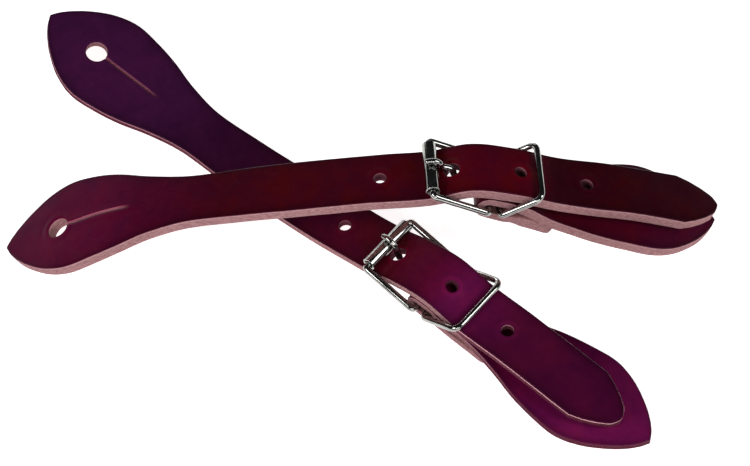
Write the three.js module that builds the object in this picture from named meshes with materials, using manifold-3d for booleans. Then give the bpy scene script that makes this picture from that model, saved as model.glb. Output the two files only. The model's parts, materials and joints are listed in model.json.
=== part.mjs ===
// A pair of western spur straps, buckled and lying crossed on a table.
// Each set is a long strap with a leaf-shaped end, a short strap folded round a roller buckle,
// and a wire keeper that holds the point of the long strap down.
// Millimetres and degrees, +Z up.
import * as THREE from 'three';
import { mergeVertices } from 'three/addons/utils/BufferGeometryUtils.js';
import Module from 'manifold-3d';

const wasm = await Module();
wasm.setup();

// ---- Sizes that both sets share ----
const CLEARANCE = 0.3;
const STRAP_HALF = 9.5;
const STRAP_LENGTH = 236.5;
const STATION_STEP = 5;
const SHORTEST_SPAN = 1;

// The leaf's outline: distance from its tip, then half width.
const LEAF_OUTLINE = [
  [0, 0.9], [4, 6], [9, 10.4], [16, 14.6], [24, 16.8], [33, 16],
  [42, 14.1], [52, 11.1], [64, 9], [80, 9.2], [95, STRAP_HALF],
];
const LEAF_LENGTH = 95;
const LEAF_STATIONS = 26;

// The point of the long strap: distance back from its end, then half width.
const POINT_OUTLINE = [[13, STRAP_HALF], [9, 8], [5, 5.9], [2, 3.8], [0, 1.7]];

const BUTTON_HOLE_AT = 20;
const BUTTON_HOLE_RADIUS = 3.7;
const SLIT_END = 46;
const SLIT_WIDTH = 0.7;
const FIRST_HOLE_AT = 124.6;
const HOLE_SPACING = 22.35;
const HOLES_AT = [0, 1, 2, 3].map((i) => FIRST_HOLE_AT + i * HOLE_SPACING);
const HOLE_RADIUS = 2.5;

const FRAME_WIRE = 1.15;
const FRAME_LENGTH = 20;
const HEEL_TRIES = 20;
const KEEPER_WIRE = 1.05;
const KEEPER_LENGTH = 15;
const RING_HALF_WIDTH = 11.05;
const BAR_CORNER = 1.5;
const KEEPER_CORNER = 3;

const ROLLER_RADIUS = 2.2;
const ROLLER_WALL = 0.7;
const ROLLER_HALF = 9.4;
const ROLLER_LIFT = 0.1;

const TONGUE_WIRE = 1.1;
const TONGUE_EYE_WALL = 0.9;
const TONGUE_EYE_HALF = 1.6;
const TONGUE_EYE_INNER = FRAME_WIRE + CLEARANCE;
const TONGUE_SLOT_HALF = 2.2;
// Where the tongue lies over the roller, in degrees round it from the side of the heel bar.
const TONGUE_OVER_ROLLER = [0, 25, 50, 75, 98];
const TONGUE_RISE = 3;
const TONGUE_SLANT = 0.3;

// The fold of the short strap holds the heel bar and the keeper, then closes and is screwed shut.
const FOLD_RADIUS = 1.5;
const FOLD_OPEN_PAST_KEEPER = 3;
const FOLD_CLOSING = 6.5;
const FOLD_SPANS = 10;
const SCREW_PAST_CLOSING = 0.6;
const SCREW_HEAD_RADIUS = 3.8;
const SCREW_HEAD_HEIGHT = 1;
const SCREW_SHORTER_BY = 1;
const POST_RADIUS = 2.1;
const SCREW_RADIUS = 1.1;

// ---- How finely curved surfaces are faceted ----
const WIRE_SEGMENTS = 5;
const LOOP_STEPS = 56;
const TONGUE_STEPS = 28;
const ROUND_SIDES = 20;
const BUTTON_HOLE_SIDES = 24;
const BUCKLE_HOLE_SIDES = 16;

// ---- Colours ----
const LONG_TINT = 0x6e1b3a;
const SHORT_TINT = 0x7a2048;
const NICKEL_TINT = 0xc9c9c6;

// ---- What differs between the two sets ----
// rise is the height of the long strap's top face: distance along the table, then height.
// leaf is the underside of the short strap beyond its fold, in the same measures.
// droop is how much steeper the short strap runs down from the heel bar than the long strap over it.
// keeperBehindHeel and flapEnd are distances behind the heel bar.
const LOWER = {
  name: 'lower',
  leather: 3.2,
  folded: 2.6,
  tip: [-107.3, 80.1],
  heading: -38.3,
  bend: -0.00025,
  lean: 0,
  rise: [
    [0, 15.1], [38.6, 7.8], [77.6, 4.4], [116.6, 6.8], [138, 10.2],
    [150, 14.3], [163, 16.8], [177, 13.8], [194.3, 13.2], [234.5, 10],
  ],
  frontBarAt: 143.4,
  droop: 4.5,
  keeperBehindHeel: 3.75,
  keeperLift: 0.8,
  flapEnd: 28.5,
  leaf: [[200, 3], [219, 1.8], [243.2, 1]],
  shortBend: 0.0006,
  shortTwist: -0.0017,
};
const UPPER = {
  name: 'upper',
  leather: 4.2,
  folded: 3.1,
  tip: [-119, -2.5],
  heading: -1.4,
  bend: 0.00045,
  lean: -7.1,
  rise: [
    [0, 4], [34, 22.4], [72.3, 30.6], [111.2, 35.2], [133, 36.4],
    [147, 39.3], [161, 36], [176, 29.9], [198, 23.4], [226.6, 12.4],
  ],
  frontBarAt: 140.9,
  droop: 7,
  keeperBehindHeel: 3.75,
  keeperLift: 0.9,
  flapEnd: 23.7,
  leaf: [[196, 12.6], [210, 7], [223.8, 1.5]],
  shortBend: 0.00045,
  shortTwist: 0,
};

// How far a hole or slit is cut to each side of a strap's face.
const CUT_REACH = 2 * UPPER.leather;

// ---- Solids ----
function solidOf(geometry) {
  const bare = geometry.index ? geometry.toNonIndexed() : geometry.clone();
  bare.deleteAttribute('normal');
  bare.deleteAttribute('uv');
  const merged = mergeVertices(bare, 1e-3);
  return new wasm.Manifold(new wasm.Mesh({
    numProp: 3,
    vertProperties: merged.attributes.position.array,
    triVerts: new Uint32Array(merged.index.array),
  }));
}

function geometryOf(solid) {
  const mesh = solid.getMesh();
  const geometry = new THREE.BufferGeometry();
  geometry.setAttribute('position', new THREE.BufferAttribute(mesh.vertProperties, 3));
  geometry.setIndex(new THREE.BufferAttribute(mesh.triVerts, 1));
  geometry.computeVertexNormals();
  return geometry;
}

function cut(geometry, cutters) {
  const solid = cutters.reduce((left, cutter) => left.subtract(solidOf(cutter)), solidOf(geometry));
  return geometryOf(solid);
}

function join(geometries) {
  const [first, ...rest] = geometries.map(solidOf);
  return geometryOf(rest.reduce((whole, next) => whole.add(next), first));
}

// ---- Paths that straps lie along ----
// profile is a curve of (distance along the table, height); bend is the curvature seen from above,
// and twist is the roll, in radians for each millimetre along.
class StrapPath {
  constructor(profile, bend, twist) {
    this.profile = profile;
    this.bend = bend;
    this.twist = twist;
    this.length = profile.getLength();
  }

  // The point at distance s along the profile, moved by up along the strap's upward normal.
  point(s, up) {
    const t = THREE.MathUtils.clamp(s / this.length, 0, 1);
    const tangent = this.profile.getTangent(t);
    const point = this.profile.getPoint(t);
    return new THREE.Vector2(point.x - up * tangent.y, point.y + up * tangent.x);
  }

  slope(s) {
    return this.profile.getTangent(s / this.length).angle();
  }

  // A point in space: along the table, across the strap, and height.
  place(along, across, height) {
    const turn = this.bend * along;
    const roll = this.twist * along;
    const level = across * Math.cos(roll);
    const centre = new THREE.Vector2(Math.sin(turn) / this.bend, (1 - Math.cos(turn)) / this.bend);
    return new THREE.Vector3(
      centre.x - level * Math.sin(turn),
      centre.y + level * Math.cos(turn),
      height + across * Math.sin(roll),
    );
  }

  at(s, across, up) {
    const point = this.point(s, up);
    return this.place(point.x, across, point.y);
  }

  // Turns and moves a shape drawn at the origin, +X along the strap and +Z up from it, to distance s.
  carry(geometry, s, up) {
    const centre = this.at(s, 0, up);
    const along = this.point(s, up).x;
    geometry.rotateX(this.twist * along);
    geometry.rotateY(-this.slope(s));
    geometry.rotateZ(this.bend * along);
    return geometry.translate(centre.x, centre.y, centre.z);
  }
}

function curveOf(pieces) {
  const path = new THREE.CurvePath();
  pieces.forEach((piece) => path.add(piece));
  return path;
}

// ---- Leather ----
// Each station is a distance s, a half width, and the thickness from bottom to top.
function strapGeometry(path, stations) {
  const spans = stations.length - 1;
  const geometry = new THREE.BoxGeometry(spans, 2, 1, spans, 2, 1);
  const position = geometry.attributes.position;
  for (let i = 0; i < position.count; i += 1) {
    const station = stations[Math.round(position.getX(i) + spans / 2)];
    const up = position.getZ(i) > 0 ? station.top : station.bottom;
    const corner = path.at(station.s, position.getY(i) * station.half, up);
    position.setXYZ(i, corner.x, corner.y, corner.z);
  }
  return geometry;
}

function leafStations() {
  const outline = new THREE.SplineCurve(LEAF_OUTLINE.map(([x, y]) => new THREE.Vector2(x, y)));
  return outline.getSpacedPoints(LEAF_STATIONS).map((point) => ({ s: point.x, half: point.y }));
}

function straightStations(from, to) {
  const count = Math.ceil((to - from) / STATION_STEP);
  return Array.from({ length: count }, (_, i) => ({
    s: from + ((i + 1) * (to - from)) / count,
    half: STRAP_HALF,
  }));
}

// A short length of strap, used to cut the slit that runs from the button hole.
function slitGeometry(path, from, to, flip) {
  const count = Math.ceil((to - from) / STATION_STEP);
  const stations = Array.from({ length: count + 1 }, (_, i) => from + (i * (to - from)) / count)
    .map((s) => ({ s, half: SLIT_WIDTH / 2, top: CUT_REACH, bottom: -CUT_REACH }));
  const along = flip ? stations.map((station) => ({ ...station, s: path.length - station.s })).reverse()
    : stations;
  return strapGeometry(path, along);
}

function holeGeometry(path, s, radius) {
  const sides = radius > HOLE_RADIUS ? BUTTON_HOLE_SIDES : BUCKLE_HOLE_SIDES;
  const hole = new THREE.CylinderGeometry(radius, radius, 2 * CUT_REACH, sides).rotateX(Math.PI / 2);
  return path.carry(hole, s, 0);
}

function longStrap(set, path) {
  const straightEnd = STRAP_LENGTH - POINT_OUTLINE[0][0];
  const stations = [
    ...leafStations(),
    ...straightStations(LEAF_LENGTH, straightEnd),
    ...POINT_OUTLINE.slice(1).map(([back, half]) => ({ s: STRAP_LENGTH - back, half })),
  ].map((station) => ({ ...station, top: 0, bottom: -set.leather }));
  return cut(strapGeometry(path, stations), [
    holeGeometry(path, BUTTON_HOLE_AT, BUTTON_HOLE_RADIUS),
    slitGeometry(path, BUTTON_HOLE_AT, SLIT_END, false),
    ...HOLES_AT.map((s) => holeGeometry(path, s, HOLE_RADIUS)),
  ]);
}

// ---- Metal ----
// A closed wire loop in the XY plane from x = 0 to x = length, the bars running along Y.
function wireLoop(length, farCorner, wire) {
  const turns = [
    { x: 0, side: 1, inward: 1, corner: BAR_CORNER },
    { x: length, side: 1, inward: -1, corner: farCorner },
    { x: length, side: -1, inward: -1, corner: farCorner },
    { x: 0, side: -1, inward: 1, corner: BAR_CORNER },
  ];
  const pieces = [];
  let last = new THREE.Vector3(0, 0, 0);
  const lineTo = (x, y) => {
    const next = new THREE.Vector3(x, y, 0);
    pieces.push(new THREE.LineCurve3(last, next));
    last = next;
  };
  const bendTo = (cornerX, cornerY, x, y) => {
    const next = new THREE.Vector3(x, y, 0);
    pieces.push(new THREE.QuadraticBezierCurve3(last, new THREE.Vector3(cornerX, cornerY, 0), next));
    last = next;
  };
  turns.forEach(({ x, side, inward, corner }, i) => {
    const y = side * RING_HALF_WIDTH;
    const alongBar = [x, y - side * corner];
    const alongArm = [x + inward * corner, y];
    const [first, second] = i % 2 === 0 ? [alongBar, alongArm] : [alongArm, alongBar];
    lineTo(...first);
    bendTo(x, y, ...second);
  });
  lineTo(0, 0);
  const section = new THREE.Shape().absarc(0, 0, wire, 0, 2 * Math.PI);
  const loop = new THREE.ExtrudeGeometry(section, {
    steps: LOOP_STEPS,
    curveSegments: WIRE_SEGMENTS,
    extrudePath: curveOf(pieces),
  });
  // The loop closes on itself, so only its side wall is kept and the two end lids are dropped.
  const wall = loop.groups[1];
  const position = loop.attributes.position.array.slice(3 * wall.start, 3 * (wall.start + wall.count));
  const geometry = new THREE.BufferGeometry();
  geometry.setAttribute('position', new THREE.BufferAttribute(position, 3));
  return geometryOf(solidOf(geometry));
}

// A ring round the bar that it turns on, its axis along Y.
function tubeGeometry(inner, outer, half) {
  const profile = [[inner, -half], [outer, -half], [outer, half], [inner, half], [inner, -half]];
  return new THREE.LatheGeometry(profile.map(([x, y]) => new THREE.Vector2(x, y)), ROUND_SIDES);
}

// The tongue turns on the heel bar at the origin; route is its centreline from the eye to its tip.
function tongueGeometry(route) {
  const eye = tubeGeometry(TONGUE_EYE_INNER, TONGUE_EYE_INNER + TONGUE_EYE_WALL, TONGUE_EYE_HALF);
  const points = route.map((point) => new THREE.Vector3(point.x, 0, point.y));
  const wire = new THREE.ExtrudeGeometry(new THREE.Shape().absarc(0, 0, TONGUE_WIRE, 0, 2 * Math.PI), {
    steps: TONGUE_STEPS,
    curveSegments: WIRE_SEGMENTS,
    extrudePath: new THREE.CatmullRomCurve3(points),
  });
  const tip = points[points.length - 1];
  const end = new THREE.SphereGeometry(TONGUE_WIRE, 2 * WIRE_SEGMENTS, WIRE_SEGMENTS + 1)
    .translate(tip.x, tip.y, tip.z);
  return join([eye, wire, end]);
}

// A disc-headed pin along Z: the head from z = 0 up to height, the shank from z = 0 down to -length.
function headedPin(length, radius, height) {
  const profile = [
    [0, -length], [radius, -length], [radius, 0],
    [SCREW_HEAD_RADIUS, 0], [SCREW_HEAD_RADIUS, height], [0, height],
  ].map(([x, y]) => new THREE.Vector2(x, y));
  return new THREE.LatheGeometry(profile, ROUND_SIDES).rotateX(Math.PI / 2);
}

// ---- Materials ----
function latigo(tint) {
  return new THREE.MeshStandardMaterial({ color: tint, roughness: 0.42, metalness: 0 });
}

function nickel() {
  return new THREE.MeshStandardMaterial({ color: NICKEL_TINT, roughness: 0.18, metalness: 1 });
}

function node(name, geometry, material) {
  const mesh = new THREE.Mesh(geometry, material);
  mesh.name = name;
  return mesh;
}

// ---- One set ----
// Side view measures of a set, from the heel bar at the origin: X along the table, Y up.
// near() is a point by the long strap and behind() the same turned down by the short strap's droop.
function layoutOf(set) {
  const rise = new THREE.SplineCurve(set.rise.map(([x, y]) => new THREE.Vector2(x, y)));
  const path = new StrapPath(curveOf([rise]), set.bend, 0);
  const tabTop = -set.leather - CLEARANCE;
  const heelDepth = -tabTop + set.folded + FOLD_RADIUS;
  const frontHeight = CLEARANCE + ROLLER_RADIUS + ROLLER_LIFT;
  const frontBar = path.point(set.frontBarAt, frontHeight);
  let heelAt = set.frontBarAt + FRAME_LENGTH;
  for (let i = 0; i < HEEL_TRIES; i += 1) {
    heelAt += FRAME_LENGTH - path.point(heelAt, -heelDepth).distanceTo(frontBar);
  }
  const heel = path.point(heelAt, -heelDepth);
  const droop = THREE.MathUtils.degToRad(set.droop);
  const near = (s, up) => path.point(s, up).sub(heel);
  const behind = (s, up) => near(s, up).rotateAround(new THREE.Vector2(), -droop);
  const front = frontBar.clone().sub(heel);
  const slope = path.slope(heelAt) - droop;
  const foldOpen = set.keeperBehindHeel + FOLD_OPEN_PAST_KEEPER;
  const foldShut = foldOpen + FOLD_CLOSING;
  const screwAt = heelAt + foldShut + SCREW_PAST_CLOSING;
  return {
    set, path, tabTop, heelDepth, heelAt, heel, droop, near, behind, front, slope,
    foldOpen, foldShut, screwAt,
  };
}

// The short strap's path, from the end of its flap round the heel bar to the tip of its leaf,
// and the distances along it where the fold begins and ends.
function foldedPath({ set, tabTop, heelDepth, heelAt, heel, behind, slope, foldOpen, foldShut }) {
  const flapFlesh = tabTop - set.leather - CLEARANCE;
  const openAt = heelAt + foldOpen;
  const shutAt = heelAt + foldShut;
  const endAt = heelAt + set.flapEnd;
  const below = -heelDepth - FOLD_RADIUS;
  const above = -heelDepth + FOLD_RADIUS;
  const flap = new THREE.SplineCurve([
    behind(endAt, flapFlesh),
    behind(shutAt, flapFlesh),
    behind(openAt, below),
  ]);
  const underBars = new THREE.LineCurve(behind(openAt, below), behind(heelAt, below));
  const fold = new THREE.EllipseCurve(0, 0, FOLD_RADIUS, FOLD_RADIUS,
    slope - Math.PI / 2, slope + Math.PI / 2, true);
  const overBars = new THREE.LineCurve(behind(heelAt, above), behind(openAt, above));
  const tab = new THREE.SplineCurve([
    behind(openAt, above),
    behind(shutAt, tabTop - set.leather),
    behind(endAt, tabTop - set.leather - CLEARANCE),
    ...set.leaf.map(([x, y]) => new THREE.Vector2(x, y).sub(heel)),
  ]);
  const path = new StrapPath(curveOf([flap, underBars, fold, overBars, tab]), set.shortBend,
    set.shortTwist);
  const foldStart = flap.getLength() + underBars.getLength();
  return { path, foldStart, foldEnd: foldStart + fold.getLength() };
}

// Leather is skived to a thinner section where it passes round the bars.
function shortStations({ set, foldOpen, foldShut }, { path, foldStart, foldEnd }) {
  const shut = foldEnd + foldShut;
  const round = Array.from({ length: FOLD_SPANS }, (_, i) => ({
    s: foldStart + ((i + 1) * (foldEnd - foldStart)) / FOLD_SPANS,
    half: STRAP_HALF,
  }));
  const leaf = leafStations().map(({ s, half }) => ({ s: path.length - s, half })).reverse();
  const stations = [
    { s: 0, half: STRAP_HALF },
    ...straightStations(0, foldStart),
    ...round,
    ...straightStations(foldEnd, shut),
    ...leaf.filter(({ s }) => s > shut + SHORTEST_SPAN),
  ];
  return stations.map((station) => {
    const fromFold = Math.max(station.s - foldEnd, foldStart - station.s);
    const share = THREE.MathUtils.smoothstep(fromFold, foldOpen, foldShut);
    return { ...station, bottom: 0, top: THREE.MathUtils.lerp(set.folded, set.leather, share) };
  });
}

// Turns a shape drawn along Z upright to the short strap, and moves it to distance s and height up.
function stood(geometry, { path, droop, behind }, s, up) {
  const spot = behind(s, up);
  return geometry.rotateY(droop - path.slope(s)).translate(spot.x, 0, spot.y);
}

function shortStrap(layout) {
  const { set, tabTop, slope, screwAt } = layout;
  const folded = foldedPath(layout);
  const flapBottom = tabTop - 2 * set.leather - CLEARANCE;
  const headRoom = SCREW_HEAD_HEIGHT + 2 * CLEARANCE;
  const bore = (radius, top, bottom) => stood(
    new THREE.CylinderGeometry(radius, radius, top - bottom, ROUND_SIDES).rotateX(Math.PI / 2),
    layout, screwAt, (top + bottom) / 2);
  const slotBack = TONGUE_EYE_INNER + TONGUE_EYE_WALL + CLEARANCE;
  const slotFront = FOLD_RADIUS + 2 * set.folded;
  const slot = new THREE.BoxGeometry(slotFront + slotBack, 2 * TONGUE_SLOT_HALF, 4 * slotFront)
    .translate((slotBack - slotFront) / 2, 0, 0).rotateY(-slope);
  return cut(strapGeometry(folded.path, shortStations(layout, folded)), [
    slot,
    holeGeometry(folded.path, folded.path.length - BUTTON_HOLE_AT, BUTTON_HOLE_RADIUS),
    slitGeometry(folded.path, BUTTON_HOLE_AT, SLIT_END, true),
    bore(POST_RADIUS + CLEARANCE, tabTop + CLEARANCE, flapBottom - CLEARANCE),
    bore(SCREW_HEAD_RADIUS + CLEARANCE, tabTop + CLEARANCE, tabTop - headRoom),
    bore(SCREW_HEAD_RADIUS + CLEARANCE, flapBottom + headRoom, flapBottom - CLEARANCE),
  ]);
}

// The screw post goes in from above and the screw from below, and together they clamp the fold.
function screwPair(layout) {
  const { set, tabTop, screwAt } = layout;
  const postHead = tabTop - CLEARANCE - SCREW_HEAD_HEIGHT;
  const screwHead = tabTop - 2 * set.leather + SCREW_HEAD_HEIGHT;
  const postLength = postHead - screwHead - CLEARANCE;
  const screwLength = postLength - SCREW_SHORTER_BY;
  const boreRadius = SCREW_RADIUS + CLEARANCE;
  const bore = new THREE.CylinderGeometry(boreRadius, boreRadius, 2 * screwLength, ROUND_SIDES)
    .rotateX(Math.PI / 2).translate(0, 0, -postLength);
  const post = cut(headedPin(postLength, POST_RADIUS, SCREW_HEAD_HEIGHT), [bore]);
  const screw = headedPin(screwLength, SCREW_RADIUS, SCREW_HEAD_HEIGHT).rotateX(Math.PI);
  return {
    post: stood(post, layout, screwAt, postHead),
    screw: stood(screw, layout, screwAt, screwHead),
  };
}

// The tongue leaves the top of its eye, rises through a strap hole and hooks over the roller.
function tongueRoute({ set, path, heelDepth, heelAt, near, front }) {
  const eyeTop = -heelDepth + TONGUE_EYE_INNER + TONGUE_EYE_WALL / 2;
  const underStrap = -set.leather - 2 * CLEARANCE - TONGUE_WIRE;
  const overRoller = ROLLER_RADIUS + CLEARANCE + TONGUE_WIRE;
  const hole = HOLES_AT[1];
  const overRollerPoints = TONGUE_OVER_ROLLER.map((degrees) => {
    const angle = THREE.MathUtils.degToRad(degrees) + path.slope(set.frontBarAt);
    return new THREE.Vector2(overRoller, 0).rotateAround(new THREE.Vector2(), angle).add(front);
  });
  return [
    near(heelAt - TONGUE_EYE_INNER - TONGUE_EYE_WALL / 2, eyeTop),
    near(heelAt - 2 * TONGUE_EYE_INNER, eyeTop),
    near(hole + TONGUE_RISE, underStrap - CLEARANCE),
    near(hole + TONGUE_SLANT, -set.leather),
    near(hole, 0),
    ...overRollerPoints,
  ];
}

function strapSet(set) {
  const layout = layoutOf(set);
  const { path, heel, front, behind, heelDepth, heelAt, foldOpen } = layout;
  const group = new THREE.Group();
  group.position.set(set.tip[0], set.tip[1], 0);
  group.rotation.z = THREE.MathUtils.degToRad(set.heading);
  const leaning = new THREE.Group();
  leaning.rotation.x = THREE.MathUtils.degToRad(set.lean);
  group.add(leaning);
  leaning.add(node(`${set.name}_long_strap`, longStrap(set, path), latigo(LONG_TINT)));

  const buckle = new THREE.Group();
  buckle.position.copy(path.place(heel.x, 0, heel.y));
  buckle.rotation.z = set.bend * heel.x;
  leaning.add(buckle);
  const { post, screw } = screwPair(layout);
  buckle.add(
    node(`${set.name}_short_strap`, shortStrap(layout), latigo(SHORT_TINT)),
    node(`${set.name}_screw_post`, post, nickel()),
    node(`${set.name}_screw`, screw, nickel()),
  );

  // The frame and tongue turn on the heel bar, the roller turns on the front bar.
  const frame = node(`${set.name}_buckle_frame`,
    wireLoop(FRAME_LENGTH, BAR_CORNER, FRAME_WIRE), nickel());
  frame.rotation.y = -front.angle();
  const roller = node(`${set.name}_roller`,
    tubeGeometry(ROLLER_RADIUS - ROLLER_WALL, ROLLER_RADIUS, ROLLER_HALF), nickel());
  roller.position.set(front.x, 0, front.y);
  const tongue = node(`${set.name}_tongue`, tongueGeometry(tongueRoute(layout)), nickel());
  buckle.add(frame, roller, tongue);

  // The keeper swings on its lower bar, which lies in the fold beside the heel bar.
  const keeper = node(`${set.name}_keeper`,
    wireLoop(KEEPER_LENGTH, KEEPER_CORNER, KEEPER_WIRE), nickel());
  const pivot = behind(heelAt + foldOpen, -heelDepth).setLength(set.keeperBehindHeel);
  const overStrap = CLEARANCE + KEEPER_WIRE + set.keeperLift;
  keeper.position.set(pivot.x, 0, pivot.y);
  keeper.rotation.y = -(path.slope(heelAt + KEEPER_LENGTH / 2)
    + Math.asin((heelDepth + overStrap) / KEEPER_LENGTH));
  buckle.add(keeper);
  return group;
}

// ---- The pair, with its origin at the middle of its footprint on the table ----
const pair = new THREE.Group();
pair.add(strapSet(LOWER), strapSet(UPPER));
pair.updateMatrixWorld(true);
const box = new THREE.Box3().setFromObject(pair, true);
const middle = box.getCenter(new THREE.Vector3());
const straps = new THREE.Group();
straps.add(pair);
pair.position.set(-middle.x, -middle.y, -box.min.z);

export default straps;
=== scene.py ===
import json
import math

import bmesh
import bpy
import numpy as np
from mathutils import Matrix, Vector


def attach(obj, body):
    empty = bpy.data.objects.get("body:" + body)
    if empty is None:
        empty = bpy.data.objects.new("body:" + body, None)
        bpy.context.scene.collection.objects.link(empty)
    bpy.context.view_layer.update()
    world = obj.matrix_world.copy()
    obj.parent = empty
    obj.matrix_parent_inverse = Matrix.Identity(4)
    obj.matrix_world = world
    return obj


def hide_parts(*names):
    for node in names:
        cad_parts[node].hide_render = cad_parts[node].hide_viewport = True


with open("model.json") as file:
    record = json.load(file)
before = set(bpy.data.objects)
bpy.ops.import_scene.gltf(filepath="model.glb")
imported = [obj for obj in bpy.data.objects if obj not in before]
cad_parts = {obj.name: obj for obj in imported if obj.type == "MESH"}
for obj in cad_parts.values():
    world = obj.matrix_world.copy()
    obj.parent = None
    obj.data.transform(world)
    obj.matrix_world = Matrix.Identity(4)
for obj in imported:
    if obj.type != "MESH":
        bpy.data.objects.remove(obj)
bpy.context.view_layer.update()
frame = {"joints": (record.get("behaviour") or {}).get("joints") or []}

MM = 0.001
RANDOM = np.random.default_rng(7)


def made_object(data):
    """A mesh, camera or lamp as an object in the scene."""
    thing = bpy.data.objects.new(data.name, data)
    bpy.context.collection.objects.link(thing)
    return thing


# ---- Camera: it comes first, before anything is made ----
CAMERA_TARGET = Vector((4.18, 0.2, 0.17)) * MM
CAMERA_DISTANCE = 957 * MM
CAMERA_ELEVATION = math.radians(58.7)
CAMERA_ROLL = math.radians(-0.98)
CAMERA_LENS = 144
SENSOR_WIDTH = 36


def add_camera():
    back = Vector((0, -math.cos(CAMERA_ELEVATION), math.sin(CAMERA_ELEVATION)))
    level = Vector((1, 0, 0))
    upright = back.cross(level)
    right = level * math.cos(CAMERA_ROLL) + upright * math.sin(CAMERA_ROLL)
    up = upright * math.cos(CAMERA_ROLL) - level * math.sin(CAMERA_ROLL)
    camera = made_object(bpy.data.cameras.new("camera"))
    camera.data.lens = CAMERA_LENS
    camera.data.sensor_width = SENSOR_WIDTH
    camera.matrix_world = Matrix.Translation(CAMERA_TARGET + back * CAMERA_DISTANCE) @ Matrix(
        (right, up, back)).transposed().to_4x4()
    bpy.context.scene.camera = camera


add_camera()

# ---- Sizes in millimetres, as in the CAD model ----
CLEARANCE = 0.3
STRAP_HALF = 9.5
STRAP_LENGTH = 236.5
LEAF_OUTLINE = [
    (0, 0.9), (4, 6), (9, 10.4), (16, 14.6), (24, 16.8), (33, 16),
    (42, 14.1), (52, 11.1), (64, 9), (80, 9.2), (95, STRAP_HALF),
]
POINT_OUTLINE = [(0, 1.7), (2, 3.8), (5, 5.9), (9, 8), (13, STRAP_HALF)]
BUTTON_HOLE_AT = 20
BUTTON_HOLE_RADIUS = 3.7
SLIT_END = 46
FIRST_HOLE_AT = 124.6
HOLE_SPACING = 22.35
HOLES_AT = [FIRST_HOLE_AT + i * HOLE_SPACING for i in range(4)]
TONGUE_HOLE_AT = HOLES_AT[1]
HOLE_RADIUS = 2.5
FRAME_WIRE = 1.15
FRAME_LENGTH = 20
HEEL_TRIES = 20
KEEPER_WIRE = 1.05
KEEPER_LENGTH = 15
KEEPER_BEHIND_HEEL = 3.75
RING_HALF_WIDTH = 11.05
BAR_CORNER = 1.5
KEEPER_CORNER = 3
ROLLER_RADIUS = 2.2
ROLLER_WALL = 0.7
ROLLER_HALF = 9.4
ROLLER_LIFT = 0.1
TONGUE_WIRE = 1.1
TONGUE_EYE_WALL = 0.9
TONGUE_EYE_HALF = 1.6
TONGUE_EYE_INNER = FRAME_WIRE + CLEARANCE
TONGUE_SLOT_HALF = 2.2
TONGUE_OVER_ROLLER = [0, 25, 50, 75, 98]
TONGUE_RISE = 3
TONGUE_SLANT = 0.3
FOLD_RADIUS = 1.5
FOLD_OPEN_PAST_KEEPER = 3
FOLD_CLOSING = 6.5
SCREW_PAST_CLOSING = 0.6
SCREW_HEAD_RADIUS = 3.8
SCREW_HEAD_HEIGHT = 1
POST_RADIUS = 2.1

LOWER = {
    "name": "lower",
    "leather": 3.2,
    "folded": 2.6,
    "tip": (-107.3, 80.1),
    "heading": -38.3,
    "bend": -0.00025,
    "lean": 0,
    "rise": [(0, 15.1), (38.6, 7.8), (77.6, 4.4), (116.6, 6.8), (138, 10.2),
             (150, 14.3), (163, 16.8), (177, 13.8), (194.3, 13.2), (234.5, 10)],
    "front_bar_at": 143.4,
    "droop": 4.5,
    "keeper_lift": 0.8,
    "flap_end": 28.5,
    "leaf": [(200, 3), (219, 1.8), (243.2, 1)],
    "short_bend": 0.0006,
    "short_twist": -0.0017,
}
UPPER = {
    "name": "upper",
    "leather": 4.2,
    "folded": 3.1,
    "tip": (-119, -2.5),
    "heading": -1.4,
    "bend": 0.00045,
    "lean": -7.1,
    "rise": [(0, 4), (34, 22.4), (72.3, 30.6), (111.2, 35.2), (133, 36.4),
             (147, 39.3), (161, 36), (176, 29.9), (198, 23.4), (226.6, 12.4)],
    "front_bar_at": 140.9,
    "droop": 7,
    "keeper_lift": 0.9,
    "flap_end": 23.7,
    "leaf": [(196, 12.6), (210, 7), (223.8, 1.5)],
    "short_bend": 0.00045,
    "short_twist": 0,
}


# ---- Curves ----
SAME_PLACE = 1e-6
BAR_STEPS = 40
FOLD_STEPS = 60


def hermite(start, end, leaving, arriving, t):
    """A cubic from one point to another, with the given speed at each."""
    return ((2 * start - 2 * end + leaving + arriving) * t**3
            + (3 * end - 3 * start - 2 * leaving - arriving) * t**2 + leaving * t + start)


def catmull(points, per_span=60):
    """A uniform Catmull-Rom curve through the points, as a dense polyline."""
    points = np.array(points, float)
    padded = np.vstack([points[:1], points, points[-1:]])
    t = np.linspace(0, 1, per_span, endpoint=False)[:, None]
    spans = []
    for p0, p1, p2, p3 in zip(padded, padded[1:], padded[2:], padded[3:]):
        spans.append(hermite(p1, p2, (p2 - p0) / 2, (p3 - p1) / 2, t))
    return np.vstack([*spans, points[-1:]])


def turned(point, angle):
    c, s = math.cos(angle), math.sin(angle)
    return np.array([point[0] * c - point[1] * s, point[0] * s + point[1] * c])


def lengths_of(line):
    return np.concatenate([[0], np.cumsum(np.linalg.norm(np.diff(line, axis=0), axis=1))])


def smoothstep(x, low, high):
    t = np.clip((x - low) / (high - low), 0, 1)
    return t * t * (3 - 2 * t)


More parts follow.
